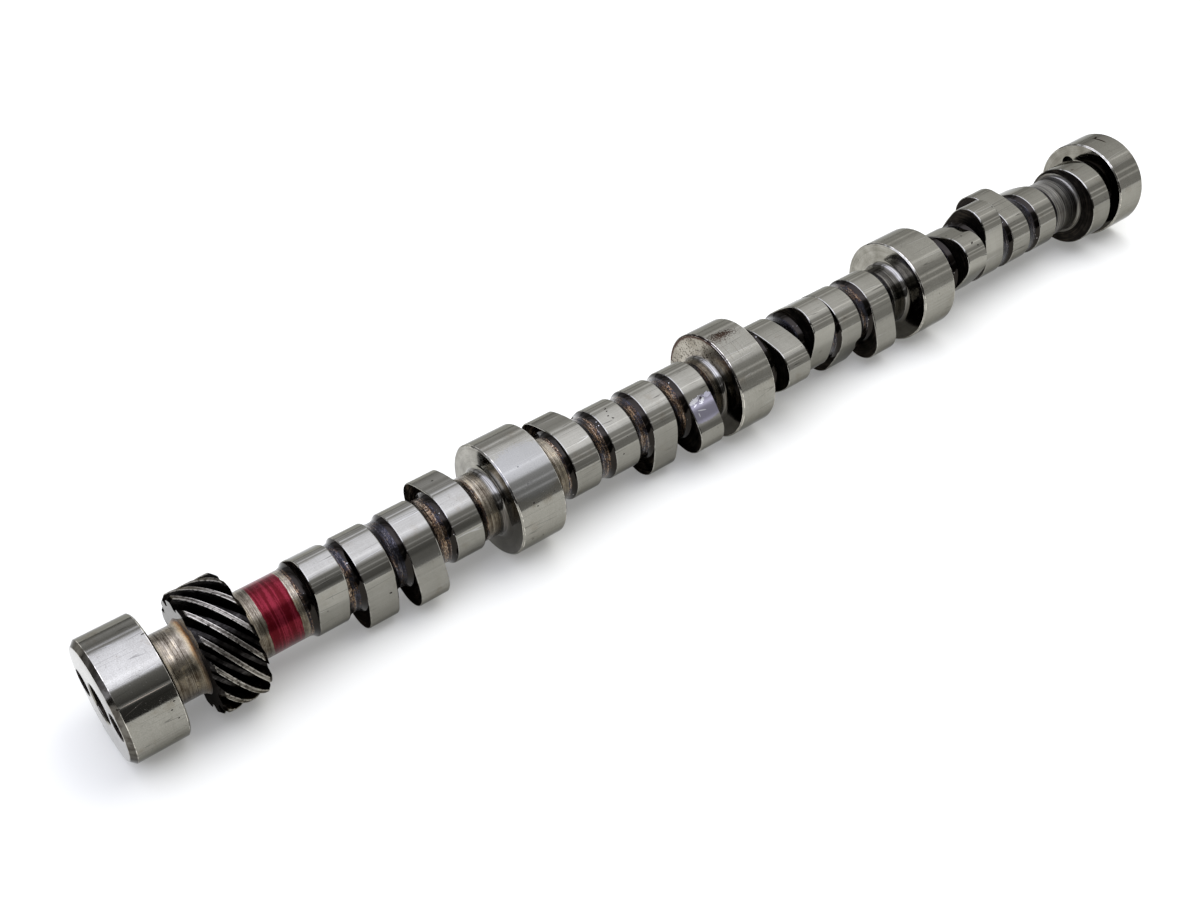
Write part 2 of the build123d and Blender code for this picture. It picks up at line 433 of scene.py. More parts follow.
def bumpInto(tree, shader, height, distance):
    bump = put(tree, "ShaderNodeBump", links={"Height": height, "Strength": 1.0, "Distance": distance * mm})
    tree.links.new(bump.outputs[0], shader.inputs["Normal"])


def marksOf(tree, marks):
    # marks are (along, turn, half length, half width, slant, ragged)
    mask = None
    for mark in marks:
        labels = ("Along", "Turn", "Length", "Width", "Slant", "Ragged")
        one = use(tree, placedMark, **dict(zip(labels, mark)))["Mask"]
        mask = one if mask is None else larger(tree, mask, one)
    return mask


# ground journals and lobes: fine grinding lines, crisp lines along the bar, pits, a few scratches and stains
groundShades = {
    "stain": (0.17, 0.14, 0.1), "darkThread": (0.07, 0.066, 0.06), "paleThread": (0.46, 0.455, 0.44),
    "scratch": (0.1, 0.09, 0.08), "pit": (0.018, 0.014, 0.011), "paintedUnderShade": (0.02, 0.018, 0.015),
    "paintedChamferShade": (0.035, 0.028, 0.023), "grazing": (0.5, 0.5, 0.49, 1.0),
}


def groundSteel(name, look):
    shades = groundShades
    material, tree, shader = newMaterial(name)
    shader.inputs["Specular Tint"].default_value = shades["grazing"]
    lines = drawn(tree, along=look["lines"], around=0.02, detail=4.0)
    bands = drawn(tree, along=0.15, around=0.05, shift=7.0)
    streaks = drawn(tree, along=0.012, around=look["streaks"], shift=3.0)
    clouds = drawn(tree, along=0.12, around=0.12, detail=5.0, shift=11.0)
    grain = drawn(tree, along=2.2, around=2.2, shift=5.0)
    dashes = drawn(tree, along=0.3, around=0.4, shift=14.0)
    tone = timesPlus(tree, lines, look["lineShare"], times(tree, bands, look["bandShare"]))
    tone = timesPlus(tree, streaks, look["streakShare"], tone)
    tone = timesPlus(tree, grain, look["grainShare"], tone)
    middle = 0.5 * (look["lineShare"] + look["bandShare"] + look["streakShare"] + look["grainShare"])
    tone = spread(tree, tone, middle - 0.22, middle + 0.22)
    colour = blend(tree, tone, look["dark"], look["light"])
    stain = spread(tree, clouds, 0.56, 0.74)
    colour = lay(tree, colour, shades["stain"], stain, look["stain"])
    pitch = look["threads"]
    thread = use(tree, scratches, Length=75.0, Pitch=pitch, Slant=0.0, Share=0.5, Width=0.02)["Mask"]
    colour = lay(tree, colour, shades["darkThread"], thread, look["threadShare"])
    thread = use(tree, scratches, Length=90.0, Pitch=pitch * 1.7, Slant=0.4, Share=0.46, Width=0.012)["Mask"]
    colour = lay(tree, colour, shades["paleThread"], thread, look["threadShare"])
    scratch = use(tree, scratches, Length=11.0, Pitch=5.0, Slant=look["slant"], Share=0.42, Width=0.012)["Mask"]
    colour = lay(tree, colour, shades["scratch"], scratch, look["scratch"])
    pit = use(tree, pits, Spacing=look["pitSpacing"], Size=look["pitSize"], Share=look["pitShare"])["Mask"]
    speck = use(tree, pits, Spacing=1.05, Size=0.15, Share=0.42, Shift=4.0)["Mask"]
    pit = larger(tree, pit, times(tree, speck, look["specks"]))
    pit = larger(tree, pit, marksOf(tree, look["marks"]))
    colour = lay(tree, colour, shades["pit"], pit, 0.92)
    for patch, shade, share in look["stains"]:
        colour = lay(tree, colour, shade, marksOf(tree, [patch]), share)
    # painted shade: the lobes' undersides are darkened towards the bottom
    paintedUnderShade = use(tree, underside, Middle=60.0, From=92.0, To=102.0)["Mask"]
    colour = lay(tree, colour, shades["paintedUnderShade"], paintedUnderShade, look["paintedUnderShade"])
    # pale worn corners in dashes, partly wear and partly painted highlight lines
    worn = spread(tree, dashes, 0.45, 0.55, 0.1, 1.0)
    colour = lay(tree, colour, look["edge"], attribute(tree, "edgeShine"), worn)
    # painted shade in dashes on the rear journal's chamfer
    paintedChamferShadeShare = spread(tree, dashes, 0.34, 0.66, 0.85, 0.55)
    colour = lay(tree, colour, shades["paintedChamferShade"], attribute(tree, "paintedChamferShade"), paintedChamferShadeShare)
    tree.links.new(colour, shader.inputs["Base Color"])
    rough = spread(tree, tone, 0.0, 1.0, look["rough"] + 0.035, look["rough"] - 0.025)
    rough = timesPlus(tree, pit, 0.3, timesPlus(tree, stain, 0.08, rough))
    tree.links.new(rough, shader.inputs["Roughness"])
    height = timesPlus(tree, lines, 0.4, times(tree, grain, look["grainBump"]))
    height = timesPlus(tree, pit, -4.0, timesPlus(tree, scratch, -1.2, height))
    bumpInto(tree, shader, height, look["bump"])
    return material


# marks and stains are (along, turn, half length, half width, slant, ragged); a stain has a shade and a share too
journalLook = {
    "dark": (0.214, 0.206, 0.177), "light": (0.302, 0.294, 0.258), "edge": (0.74, 0.7, 0.62), "rough": 0.09,
    "lines": 3.0, "lineShare": 0.16, "bandShare": 0.24, "streaks": 0.9, "streakShare": 0.16,
    "grainShare": 0.5, "grainBump": 1.0, "threads": 3.2, "threadShare": 0.55, "stain": 0.4,
    "slant": 28.0, "scratch": 0.6, "pitSpacing": 4.2, "pitSize": 0.3, "pitShare": 0.34, "specks": 0.6,
    "bump": 0.004, "paintedUnderShade": 0.0,
    "marks": [(-542.6, 141.9, 0.6, 0.4, 0, 0.4), (-524.2, 95.0, 0.8, 0.3, 0, 0.4),
              (-525.7, 157.3, 0.45, 0.3, 0, 0.4), (-527.4, 163.8, 0.45, 0.3, 0, 0.4),
              (-526.2, 174.6, 0.4, 0.3, 0, 0.4), (-376.9, 116.7, 0.4, 0.35, 0, 0.3),
              (-376.9, 134.9, 0.4, 0.35, 0, 0.3), (-377.6, 153.3, 0.5, 0.45, 0, 0.3),
              (-376.3, 157.9, 0.35, 0.3, 0, 0.3), (-368.0, 152.2, 0.4, 0.35, 0, 0.3),
              (-375.0, 197.1, 0.45, 0.35, 0, 0.3), (-380.0, 194.0, 0.4, 0.35, 0, 0.3)],
    "stains": [((-7.8, 83.0, 0.55, 4.3, 5, 0.1), (0.03, 0.02, 0.014), 1.0),
               ((-6.9, 76.2, 1.7, 0.6, 25, 0.1), (0.03, 0.02, 0.014), 1.0),
               ((-533.1, 142.0, 9.6, 0.12, -0.5, 0.02), (0.85, 0.7, 0.58), 0.95),
               ((-538.2, 147.4, 4.2, 0.11, 15, 0.02), (0.85, 0.78, 0.7), 0.95),
               ((-264.0, 88.5, 5.5, 1.9, -10, 1.2), (0.035, 0.02, 0.013), 0.92),
               ((-267.0, 91.0, 4.0, 2.6, 0, 1.3), (0.05, 0.03, 0.02), 0.6),
               ((-268.6, 110.0, 0.07, 6.0, 0, 0.01), (0.08, 0.045, 0.03), 0.8),
               ((-264.2, 112.0, 0.06, 5.0, 0, 0.01), (0.09, 0.05, 0.03), 0.7),
               ((-261.6, 108.0, 0.06, 6.0, 0, 0.01), (0.09, 0.05, 0.03), 0.7),
               ((-374.0, 122.0, 16.0, 12.5, 0, 0.15), (0.262, 0.264, 0.262), 0.6),
               ((-271.6, 55.0, 0.8, 36.0, 0, 0.12), (0.018, 0.012, 0.01), 0.96)],
}
lobeLook = {
    "dark": (0.226, 0.218, 0.188), "light": (0.314, 0.306, 0.27), "edge": (0.33, 0.32, 0.29), "rough": 0.055,
    "lines": 2.2, "lineShare": 0.1, "bandShare": 0.24, "streaks": 1.3, "streakShare": 0.2,
    "grainShare": 0.26, "grainBump": 0.3, "threads": 2.2, "threadShare": 0.8, "stain": 0.3,
    "slant": 4.0, "scratch": 0.35, "pitSpacing": 5.0, "pitSize": 0.28, "pitShare": 0.3, "specks": 0.4,
    "bump": 0.002, "paintedUnderShade": 0.26,
    "marks": [(-325.7, 86.1, 0.6, 0.35, 20, 0.5), (-326.1, 92.0, 0.5, 0.3, 0, 0.5),
              (-326.1, 107.9, 0.55, 0.35, -30, 0.5), (-327.2, 101.0, 0.4, 0.3, 0, 0.5),
              (-328.5, 166.7, 0.4, 0.35, 0, 0.3), (-122.1, 127.7, 0.9, 0.4, 30, 0.5),
              (-119.7, 132.9, 0.5, 0.4, 0, 0.5), (-97.4, 99.9, 0.45, 0.4, 0, 0.3),
              (-123.0, 112.7, 0.45, 0.4, 0, 0.3), (-126.3, 97.3, 0.45, 0.4, 0, 0.3),
              (-438.9, 190.8, 0.7, 0.4, 0, 0.6), (-402.3, 49.9, 0.5, 0.45, 0, 0.4)],
    "stains": [((-286.6, 158.5, 12.0, 5.6, 2, 0.04), (0.4, 0.385, 0.48), 0.92),
               ((-289.6, 143.6, 3.0, 1.0, 12, 0.7), (0.95, 0.95, 1.0), 1.0),
               ((-282.6, 142.4, 2.2, 1.1, -4, 0.5), (0.75, 0.74, 0.88), 1.0),
               ((-286.2, 147.6, 1.7, 0.8, 35, 0.8), (0.95, 0.95, 1.0), 1.0),
               ((-290.1, 150.4, 1.0, 0.35, 20, 0.3), (0.95, 0.95, 1.0), 1.0),
               ((-288.0, 159.6, 2.3, 0.24, -14, 0.08), (0.95, 0.95, 1.0), 1.0),
               ((-290.1, 163.6, 0.24, 0.9, 0, 0.08), (0.95, 0.95, 1.0), 1.0),
               ((-286.2, 143.2, 0.8, 0.6, 30, 0.5), (0.04, 0.035, 0.04), 0.9),
               ((-35.2, 98.6, 1.1, 0.8, 10, 0.6), (0.1, 0.085, 0.07), 0.7)],
}
journalSteel = groundSteel("journalSteel", journalLook)
lobeSteel = groundSteel("lobeSteel", lobeLook)


# black oxide on the lobes' sides, rubbed thin in rings
def makeSideBlack():
    look = {"grazing": (0.3, 0.29, 0.28, 1.0), "speck": (0.1, 0.075, 0.05), "bump": 0.01,
            "tones": [(0.3, (0.006, 0.0055, 0.005)), (0.5, (0.02, 0.018, 0.016)),
                      (0.62, (0.05, 0.042, 0.034)), (0.78, (0.11, 0.09, 0.07))]}
    material, tree, shader = newMaterial("sideBlack")
    shader.inputs["Specular Tint"].default_value = look["grazing"]
    rings = use(tree, facingRings, PerMm=1.6, Around=0.08)["Value"]
    clouds = drawn(tree, along=0.2, around=0.2, detail=5.0, shift=2.0)
    speck = use(tree, pits, Spacing=0.9, Size=0.16, Share=0.35)["Mask"]
    tone = timesPlus(tree, rings, 0.5, times(tree, clouds, 0.5))
    colour = lay(tree, ramp(tree, tone, look["tones"]), look["speck"], speck, 0.5)
    tree.links.new(colour, shader.inputs["Base Color"])
    tree.links.new(spread(tree, tone, 0.3, 0.7, 0.28, 0.5), shader.inputs["Roughness"])
    bumpInto(tree, shader, timesPlus(tree, speck, 0.6, rings), look["bump"])
    return material


sideBlack = makeSideBlack()


# the coves between the lobes: black collars and blue, brown and gold heat colours in turned rings
def makeNeckOxide():
    look = {"gold": (0.72, 0.64, 0.52), "soot": (0.008, 0.008, 0.009), "cut": (0.01, 0.009, 0.009),
            "shine": (0.4, 0.35, 0.3), "collar": (0.02, 0.0175, 0.015), "speck": (0.45, 0.44, 0.43),
            "rough": (0.24, 0.11), "bump": 0.035,
            "hues": [(0.34, (0.012, 0.011, 0.012)), (0.41, (0.028, 0.028, 0.034)), (0.455, (0.053, 0.056, 0.072)),
                     (0.49, (0.026, 0.022, 0.024)), (0.53, (0.1, 0.06, 0.034)), (0.59, (0.22, 0.14, 0.08)),
                     (0.68, (0.4, 0.33, 0.25))]}
    material, tree, shader = newMaterial("neckOxide")
    collar, temper = attribute(tree, "collar"), attribute(tree, "temper")
    rings = drawn(tree, along=3.4, around=0.1, detail=4.0)
    patches = drawn(tree, along=0.3, around=0.14, detail=4.0, shift=9.0)
    grain = drawn(tree, along=3.6, around=1.5, detail=4.0, shift=1.0)
    fleck = drawn(tree, along=3.6, around=1.2, detail=4.0, shift=21.0)
    hue = timesPlus(tree, grain, 0.45, times(tree, patches, 0.55))
    hue = timesPlus(tree, minus(tree, temper, 0.55), 0.22, hue)
    colour = ramp(tree, hue, look["hues"])
    warm = spread(tree, temper, 0.3, 0.62)
    gold = times(tree, spread(tree, fleck, 0.57, 0.66), spread(tree, patches, 0.42, 0.6))
    colour = lay(tree, colour, look["gold"], gold, spread(tree, temper, 0.62, 0.74))
    colour = lay(tree, colour, look["soot"], spread(tree, fleck, 0.51, 0.44), spread(tree, patches, 0.36, 0.5))
    colour = lay(tree, colour, look["cut"], spread(tree, rings, 0.49, 0.42), 0.85)
    shine = times(tree, spread(tree, rings, 0.55, 0.62), spread(tree, grain, 0.45, 0.56))
    shine = times(tree, shine, spread(tree, warm, 0.0, 1.0, 0.4, 1.0))
    colour = lay(tree, colour, look["shine"], shine, 0.75)
    black = spread(tree, timesPlus(tree, grain, 0.3, collar), 0.5, 0.7)
    colour = lay(tree, colour, look["collar"], black)
    # pale specks on the black collars: painted glints
    speck = use(tree, pits, Spacing=1.0, Size=0.22, Share=0.1, Shift=2.0)["Mask"]
    colour = lay(tree, colour, look["speck"], speck, black)
    tree.links.new(colour, shader.inputs["Base Color"])
    tree.links.new(spread(tree, black, 0.0, 1.0, *look["rough"]), shader.inputs["Roughness"])
    height = times(tree, plus(tree, rings, grain), spread(tree, black, 0.0, 1.0, 1.0, 0.12))
    bumpInto(tree, shader, height, look["bump"])
    return material


neckOxide = makeNeckOxide()


# bare turned necks: rings, heat tint by the hot faces, and the painted band; temper tells dirty necks from clean
def makeNeckSteel():
    look = {"satinFrom": -58.0, "strawFrom": -512.9, "strawTo": -510.4, "paintFrom": -485.6, "paintTo": -473.4,
            "paint": (0.07, 0.002, 0.0048), "paintThin": (0.15, 0.012, 0.022), "paintEdge": 0.12,
            "pit": (0.05, 0.028, 0.016), "paintedNeckShade": (0.03, 0.021, 0.012),
            "polish": [(0.1, 0.095, 0.085), (0.27, 0.262, 0.24)], "bump": 0.025,
            "rough": {"clean": 0.12, "polish": 0.13, "satin": 0.34, "paint": 0.17, "straw": 0.42},
            "tones": [(0.4, (0.036, 0.027, 0.018)), (0.465, (0.138, 0.118, 0.087)),
                      (0.53, (0.248, 0.22, 0.172)), (0.6, (0.44, 0.4, 0.33))],
            "clean": [(0.38, (0.036, 0.034, 0.03)), (0.49, (0.125, 0.12, 0.108)), (0.6, (0.27, 0.262, 0.236))],
            "heat": [(0.0, (1.0, 1.0, 1.0)), (0.2, (1.0, 0.94, 0.8)), (0.36, (1.0, 0.8, 0.5)),
                     (0.54, (1.0, 0.57, 0.23)), (0.7, (0.62, 0.3, 0.12)), (0.83, (0.2, 0.1, 0.06)),
                     (0.95, (0.04, 0.03, 0.03))],
            "straw": [(0.0, (0.42, 0.37, 0.27)), (0.45, (0.5, 0.37, 0.2)), (0.75, (0.38, 0.19, 0.065)),
                      (1.0, (0.06, 0.03, 0.014))]}
    material, tree, shader = newMaterial("neckSteel")
    shader.inputs["Specular IOR Level"].default_value = 0.1
    heat, polish, temper = (attribute(tree, name) for name in ("heat", "polish", "temper"))
    place = use(tree, shaftPlace)
    rings = drawn(tree, along=2.8, around=0.05, detail=4.0)
    patches = drawn(tree, along=0.24, around=0.18, detail=5.0, shift=4.0)
    grain = drawn(tree, along=4.0, around=1.6, shift=8.0)
    brush = drawn(tree, along=1.2, around=0.05, detail=5.0, shift=12.0)
    wave = drawn(tree, along=0.05, around=0.11, shift=6.0)
    tone = timesPlus(tree, grain, 0.2, timesPlus(tree, rings, 0.45, times(tree, patches, 0.35)))
    clean = spread(tree, temper, 0.5, 0.2)
    dirt = minus(tree, 1.0, clean)
    colour = blend(tree, clean, ramp(tree, tone, look["tones"]), ramp(tree, rings, look["clean"]))

    # heat colours, then pits and the polished ends beside the journals
    warm = timesPlus(tree, minus(tree, patches, 0.5), 1.1, times(tree, heat, 0.86))
    warm = timesPlus(tree, minus(tree, grain, 0.5), 0.7, warm)
    warm = times(tree, warm, spread(tree, dirt, 0.0, 1.0, 0.45, 1.0))
    colour = blend(tree, 1.0, colour, ramp(tree, warm, look["heat"]), "MULTIPLY")
    speck = use(tree, pits, Spacing=1.3, Size=0.34, Share=0.36)["Mask"]
    speck = times(tree, speck, spread(tree, patches, 0.42, 0.62, 0.1, 0.9))
    colour = lay(tree, colour, look["pit"], speck, dirt)
    colour = blend(tree, polish, colour, blend(tree, spread(tree, rings, 0.42, 0.56), *look["polish"]))

    # straw and orange oxide where the rear neck runs into the gear, and painted shade on the sides turned away from
    # the light, stronger on dirty necks
    nearGear = timesPlus(tree, minus(tree, patches, 0.5), 2.0, place["Along"])
    start = spread(tree, nearGear, look["strawFrom"] - 0.8, look["strawFrom"] + 0.5)
    straw = times(tree, start, below(tree, place["Along"], look["strawTo"]))
    straw = times(tree, straw, spread(tree, place["Turn"], 122.0, 150.0, 1.0, 0.4))
    straw = times(tree, straw, spread(tree, grain, 0.34, 0.56, 0.35, 1.0))
    strawShade = ramp(tree, spread(tree, nearGear, look["strawFrom"], look["strawTo"]), look["straw"])
    colour = lay(tree, colour, strawShade, straw, 0.92)
    # painted shade on the far side and the underside of the necks
    paintedNeckShade = times(tree, use(tree, underside)["Mask"], spread(tree, dirt, 0.0, 1.0, 0.3, 0.56))
    colour = lay(tree, colour, look["paintedNeckShade"], paintedNeckShade)

    # the painted band, thin in streaks
    along = timesPlus(tree, minus(tree, wave, 0.5), 2.2, place["Along"])
    edge = look["paintEdge"]
    painted = times(tree, spread(tree, along, look["paintFrom"] - edge, look["paintFrom"] + edge),
                    spread(tree, along, look["paintTo"] + edge, look["paintTo"] - edge))
    thin = spread(tree, timesPlus(tree, grain, 0.4, brush), 0.66, 0.82)
    colour = lay(tree, colour, blend(tree, thin, look["paint"], look["paintThin"]), painted)
    tree.links.new(colour, shader.inputs["Base Color"])

    metal = times(tree, spread(tree, painted, 0.0, 1.0, 1.0, 0.6), spread(tree, straw, 0.0, 1.0, 1.0, 0.5))
    tree.links.new(metal, shader.inputs["Metallic"])
    rough = spread(tree, tone, 0.35, 0.7, 0.3, 0.18)
    satin = above(tree, place["Along"], look["satinFrom"])
    masks = {"clean": clean, "polish": polish, "satin": satin, "paint": painted, "straw": straw}
    for name, mask in masks.items():
        rough = between(tree, mask, rough, look["rough"][name])
    tree.links.new(rough, shader.inputs["Roughness"])
    smooth = larger(tree, larger(tree, polish, times(tree, painted, 0.8)), times(tree, clean, 0.7))
    height = times(tree, timesPlus(tree, grain, 0.6, rings), spread(tree, smooth, 0.0, 1.0, 1.0, 0.08))
    height = timesPlus(tree, times(tree, brush, painted), 0.35, height)
    bumpInto(tree, shader, plus(tree, height, painted), look["bump"])
    return material


neckSteel = makeNeckSteel()


# turned end faces of the journals and the gear: the rear face of the middle journal is left rough and pitted
faceLook = {
    "pittedFace": -271.7, "behindFront": -30.0, "frontOfRear": -540.0, "bump": 0.003,
    "tones": [(0.38, (0.16, 0.152, 0.128)), (0.5, (0.255, 0.245, 0.212)), (0.6, (0.34, 0.328, 0.29))],
    "raw": [(0.38, (0.27, 0.243, 0.195)), (0.6, (0.42, 0.39, 0.33))],
    "pit": (0.04, 0.028, 0.018), "rim": (0.05, 0.024, 0.015), "low": (0.03, 0.026, 0.02),
    "ahead": (0.08, 0.07, 0.055), "grime": (0.012, 0.01, 0.008),
}


def makeFaceSteel(name, grimed):
    look = faceLook
    material, tree, shader = newMaterial(name)
    shader.inputs["Specular IOR Level"].default_value = 0.0
    place = use(tree, shaftPlace)
    along, turn = place["Along"], place["Turn"]
    rings = use(tree, facingRings, PerMm=2.2, Around=0.02)["Value"]
    clouds = drawn(tree, along=0.16, around=0.16, detail=5.0, shift=3.0)
    grain = drawn(tree, along=3.0, around=3.0)
    tone = timesPlus(tree, grain, 0.2, timesPlus(tree, rings, 0.3, times(tree, clouds, 0.5)))
    colour = ramp(tree, tone, look["tones"])

    # the pitted face
    away = absolute(tree, minus(tree, along, look["pittedFace"]))
    upper = spread(tree, timesPlus(tree, clouds, 40.0, turn), 140.0, 115.0)
    pitted = times(tree, below(tree, away, 1.5), upper)
    pit = use(tree, pits, Spacing=0.75, Size=0.46, Share=0.75)["Mask"]
    few = use(tree, pits, Spacing=2.4, Size=0.24, Share=0.4, Shift=5.0)["Mask"]
    pit = larger(tree, times(tree, pit, pitted), few)
    colour = lay(tree, colour, ramp(tree, clouds, look["raw"]), pitted, 0.85)
    colour = lay(tree, colour, look["pit"], pit, 0.85)
    rim = spread(tree, timesPlus(tree, clouds, 2.0, place["Radius"]), 22.6, 23.6)
    colour = lay(tree, colour, look["rim"], rim, pitted)

    # painted shade on the low parts of the faces; the front journal and the gear's grime are darker too
    low = times(tree, spread(tree, turn, 118.0, 150.0), spread(tree, turn, 300.0, 240.0))
    low = times(tree, low, above(tree, along, look["frontOfRear"]))
    colour = lay(tree, colour, look["low"], low, 0.72)
    colour = lay(tree, colour, look["ahead"], above(tree, along, look["behindFront"]), 0.3)
    if grimed:
        grime = spread(tree, timesPlus(tree, clouds, 60.0, turn), 140.0, 175.0, 0.42, 0.97)
        colour = lay(tree, colour, look["grime"], grime)
        tree.links.new(minus(tree, 1.0, grime), shader.inputs["Metallic"])
    tree.links.new(colour, shader.inputs["Base Color"])
    rough = timesPlus(tree, pitted, 0.2, spread(tree, clouds, 0.3, 0.7, 0.08, 0.14))
    tree.links.new(rough, shader.inputs["Roughness"])
    height = timesPlus(tree, pit, -5.0, timesPlus(tree, grain, 0.4, rings))
    bumpInto(tree, shader, height, look["bump"])
    return material


faceSteel = makeFaceSteel("faceSteel", False)
gearFaceSteel = makeFaceSteel("gearFaceSteel", True)


# the gear: black glossy flanks, crests worn to scratched steel, with painted highlight lines on their corners
def makeGearSteel():
    look = {"grazing": (0.3, 0.29, 0.27, 1.0), "crestFrom": 23.15, "crestTo": 23.5, "slant": -57.4,
            "bright": (0.42, 0.395, 0.345), "scratch": (0.03, 0.028, 0.026), "corner": (0.6, 0.57, 0.5),
            "rough": (0.22, 0.33), "bump": 0.05,
            "flank": [(0.36, (0.0045, 0.004, 0.0036)), (0.5, (0.015, 0.0138, 0.0128)),
                      (0.62, (0.047, 0.044, 0.041))],
            "crest": [(0.36, (0.02, 0.018, 0.015)), (0.46, (0.077, 0.07, 0.058)), (0.56, (0.135, 0.124, 0.104)),
                      (0.7, (0.23, 0.212, 0.182))]}
    material, tree, shader = newMaterial("gearSteel")
    shader.inputs["Specular Tint"].default_value = look["grazing"]
    mottle = drawn(tree, along=0.9, around=0.9, detail=6.0)
    clouds = drawn(tree, along=0.25, around=0.25, detail=4.0, shift=5.0)
    sheen = drawn(tree, along=0.5, around=1.4, shift=9.0)
    scratch = use(tree, scratches, Length=16.0, Pitch=0.6, Slant=look["slant"], Share=0.62, Width=0.09)["Mask"]
    bright = use(tree, scratches, Length=22.0, Pitch=0.9, Slant=look["slant"], Share=0.6, Width=0.1)["Mask"]
    radius = timesPlus(tree, minus(tree, mottle, 0.5), 0.6, use(tree, shaftPlace)["Radius"])
    crest = spread(tree, radius, look["crestFrom"], look["crestTo"])
    flank = ramp(tree, timesPlus(tree, sheen, 0.4, times(tree, clouds, 0.6)), look["flank"])
    top = lay(tree, ramp(tree, mottle, look["crest"]), look["bright"], bright, 0.7)
    top = lay(tree, top, look["scratch"], scratch, 0.7)
    colour = blend(tree, crest, flank, top)
    # painted highlight lines on the crests' corners
    colour = lay(tree, colour, look["corner"], attribute(tree, "crestEdge"), spread(tree, mottle, 0.36, 0.52))
    tree.links.new(colour, shader.inputs["Base Color"])
    tree.links.new(spread(tree, crest, 0.0, 1.0, *look["rough"]), shader.inputs["Roughness"])
    height = times(tree, mottle, spread(tree, crest, 0.0, 1.0, 0.25, 1.0))
    bumpInto(tree, shader, timesPlus(tree, scratch, -0.25, height), look["bump"])
    return material


gearSteel = makeGearSteel()


# drilled holes: dark, rough and oily
def makeBoreSteel():
    look = {"bump": 0.05, "rough": (0.3, 0.55),
            "tones": [(0.35, (0.008, 0.007, 0.006)), (0.55, (0.025, 0.021, 0.017)), (0.72, (0.08, 0.07, 0.058))]}
    material, tree, shader = newMaterial("boreSteel")
    rings = drawn(tree, along=1.8, around=0.3, detail=4.0)
    grain = drawn(tree, along=1.2, around=1.2, detail=4.0, shift=3.0)
    tree.links.new(ramp(tree, grain, look["tones"]), shader.inputs["Base Color"])
    tree.links.new(spread(tree, grain, 0.3, 0.7, *look["rough"]), shader.inputs["Roughness"])
    bumpInto(tree, shader, rings, look["bump"])
    return material


boreSteel = makeBoreSteel()
print("materials made")


# the turned bar: every neck, hub and journal as one path from the rear bore to the front one
turning = {
    "mouthRound": 0.05, "cornerRound": 0.3,
    "longest": 0.55, "worn": 0.15, "leastWorn": 0.45,  # lengths of the rings' steps
    "uneven": {"oxide": 0.02, "neck": 0.01}, "seed": 5,
    "insideLobes": (4, 11), "names": ("rearBar", "middleBar", "frontBar"),
}
barFinishes = {
    "journal": journalSteel, "edge": journalSteel, "face": faceSteel, "neck": neckSteel,
    "oxide": neckOxide, "bore": boreSteel, "holes": faceSteel,
}
finishIndex = {name: index for index, name in enumerate(barFinishes)}
lobeSides = [(c - lobeShape["width"] / 2, c + lobeShape["width"] / 2) for c in lobeShape["centres"]]


def chamferAt(side):
    ends = {shaft["rearFace"]: shaft["rearEdgeChamfer"], 0.0: shaft["frontEdgeChamfer"]}
    return ends.get(side, shaft["edgeChamfer"])


def journalCorners(start, end):
    neck, big, tiny = shaft["neckRadius"], shaft["journalRadius"], shaft["edgeRound"]
    if start == shaft["rearFace"]:
        foot = (start, endHoles["boreRadius"] + endHoles["mouth"], turning["mouthRound"], "holes")
    else:
        foot = (start, neck, shaft["rootFillet"], "face")
    corners = [foot, (start, big - chamferAt(start), tiny, "edge"),
               (start + chamferAt(start), big, tiny, "journal"), (end - chamferAt(end), big, tiny, "edge")]
    if end == 0.0:
        return corners + [(end, big - chamferAt(end), tiny, "holes")]
    return corners + [(end, big - chamferAt(end), tiny, "face"), (end, neck, shaft["rootFillet"], "neck")]


def hubCorners(start, end, finish, onward):
    # the bar swells under a lobe or the gear in a shallow bowl on either side
    neck, reach, steps = shaft["neckRadius"], shaft["hubRamp"], shaft["hubSteps"]
    rise = shaft["hubRadius"] - neck
    bowl = (reach ** 2 + rise ** 2) / (2 * rise)
    slope = [reach * step / steps for step in range(steps + 1)]
    slope = [(x, neck + bowl - math.sqrt(bowl ** 2 - x ** 2)) for x in slope]
    up = [(start - reach + x, r, 0, finish) for x, r in slope]
    return up + [(end + reach - x, r, 0, finish if x else onward) for x, r in reversed(slope)]


def pumpCorners(start, end):
    neck, hub, fillet = shaft["neckRadius"], shaft["pumpHubRadius"], shaft["pumpFillet"]
    return [(start, neck, fillet, "neck"), (start, hub, 0, "oxide"),
            (end, hub, 0, "oxide"), (end, neck, fillet, "oxide")]


def barPath():
    rear, mouth = shaft["rearFace"], endHoles["mouth"]
    bore, depth = endHoles["boreRadius"], endHoles["boreDepth"]
    corners = [(rear + depth + drillTip(bore), 0.0, 0, "bore"),
               (rear + depth, bore, turning["cornerRound"], "bore"),
               (rear + mouth, bore, turning["mouthRound"], "face")]
    features = [(*ends, "journal") for ends in shaft["journals"]] + [(*ends, "lobe") for ends in lobeSides]
    features = sorted(features + [(*shaft["gear"], "gear"), (*shaft["pumpHub"], "pump")])
    kinds = [kind for _, _, kind in features]
    for (start, end, kind), following in zip(features, kinds[1:] + [None]):
        if kind == "journal":
            corners += journalCorners(start, end)
        elif kind == "pump":
            corners += pumpCorners(start, end)
        else:
            finish = "oxide" if kind == "lobe" else "neck"
            corners += hubCorners(start, end, finish, finish if following == "lobe" else "neck")
    bore, depth = endHoles["frontBoreRadius"], endHoles["frontBoreDepth"]
    corners += [(0.0, bore + mouth, turning["mouthRound"], "face"), (-mouth, bore, turning["mouthRound"], "bore"),
                (-depth, bore, turning["cornerRound"], "bore"), (-depth - drillTip(bore), 0.0, 0, "bore")]
    return divided(roundedPath(corners))


